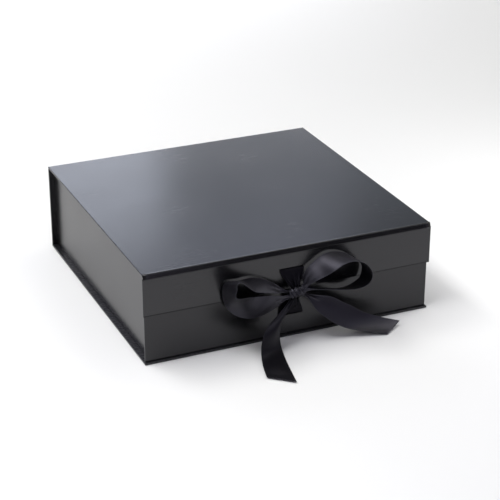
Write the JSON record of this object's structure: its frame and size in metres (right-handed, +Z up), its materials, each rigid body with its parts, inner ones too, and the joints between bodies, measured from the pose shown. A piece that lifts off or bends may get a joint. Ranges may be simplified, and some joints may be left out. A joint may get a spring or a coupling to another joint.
{
  "type": "magnetic gift box with ribbon",
  "caption": "Square rigid gift box, paper over board, with a hinged lid, a magnetic front flap and a pre-tied satin ribbon bow.",
  "frame": {"origin": "on the underside of the base, under the middle of the lid", "axes": "+Z up out of the table, -Y out of the front flap, +X to the right as seen from the front"},
  "size_m": [0.3, 0.3756, 0.0926],
  "materials": {
    "wrap_paper": "satin laminated paper, charcoal black, fine linen brush",
    "liner_paper": "matt paper, black",
    "greyboard": "raw grey board",
    "magnet": "nickel plated",
    "keeper": "plain steel",
    "satin_ribbon": "black satin, woven selvedge"
  },
  "bodies": {
    "tray": {"base_board": "greyboard", "base_wrap": "wrap_paper", "floor_liner": "liner_paper", "spine_board": "greyboard", "spine_wrap": "wrap_paper", "spine_liner": "liner_paper", "front_board": "greyboard", "front_wrap": "wrap_paper", "front_liner": "liner_paper", "side_board_left": "greyboard", "side_wrap_left": "wrap_paper", "side_board_right": "greyboard", "side_wrap_right": "wrap_paper", "magnets": "magnet", "ribbon_anchor_lower": "satin_ribbon", "ribbon_lead_lower": "satin_ribbon"},
    "lid": {"lid_board": "greyboard", "lid_wrap": "wrap_paper", "lid_liner": "liner_paper"},
    "flap": {"flap_board": "greyboard", "flap_wrap": "wrap_paper", "flap_liner": "liner_paper", "keepers": "keeper", "ribbon_anchor_upper": "satin_ribbon", "ribbon_lead_upper": "satin_ribbon", "bow_knot": "satin_ribbon", "bow_loop_left": "satin_ribbon", "bow_loop_right": "satin_ribbon", "bow_tail_left": "satin_ribbon", "bow_tail_right": "satin_ribbon"}
  },
  "joints": [
    {"name": "lid_hinge", "type": "hinge", "parent": "tray", "child": "lid", "pos_m": [0, 0.1452, 0.0904], "axis": [-1, 0, 0], "range_deg": [0, 180]},
    {"name": "flap_hinge", "type": "hinge", "parent": "lid", "child": "flap", "pos_m": [0, -0.145, 0.0896], "axis": [-1, 0, 0], "range_deg": [0, 170]}
  ]
}
